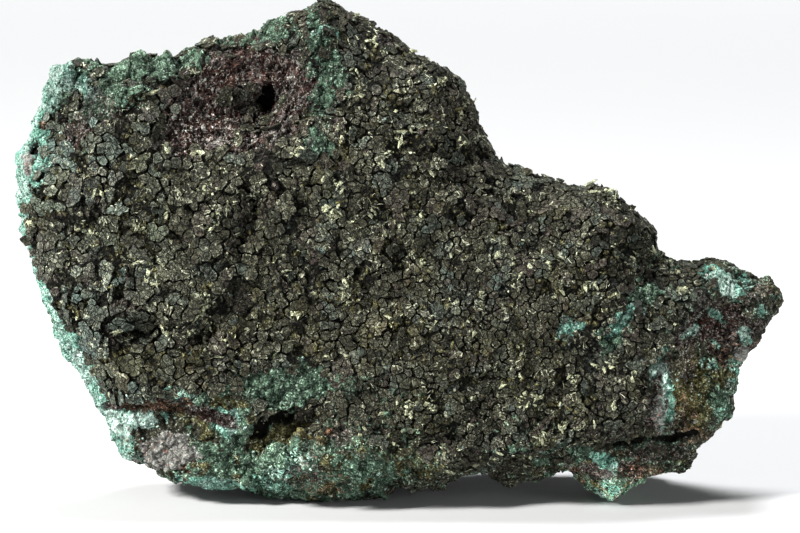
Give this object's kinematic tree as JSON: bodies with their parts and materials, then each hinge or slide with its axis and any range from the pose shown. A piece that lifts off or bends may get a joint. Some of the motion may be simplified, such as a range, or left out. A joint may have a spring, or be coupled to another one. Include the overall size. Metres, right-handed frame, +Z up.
{
  "type": "malachite and cuprite specimen",
  "caption": "Large cabinet specimen of copper ore: a thick slab with a dark crystalline crust on its face, green malachite and red cuprite, standing on a worn flat foot.",
  "frame": {"origin": "on the surface that the specimen stands on, below the middle of its box", "axes": "+X along the length, towards the narrow end; +Y from the crusted face to the rough back; +Z up"},
  "size_m": [0.1996, 0.0712, 0.1281],
  "materials": {
    "copper_ore": "dark olive-grey crust of small angular crystals, with green to turquoise malachite, red-brown cuprite and pale yellow-green flakes"
  },
  "bodies": {
    "root": {"specimen": "copper_ore"}
  },
  "joints": []
}
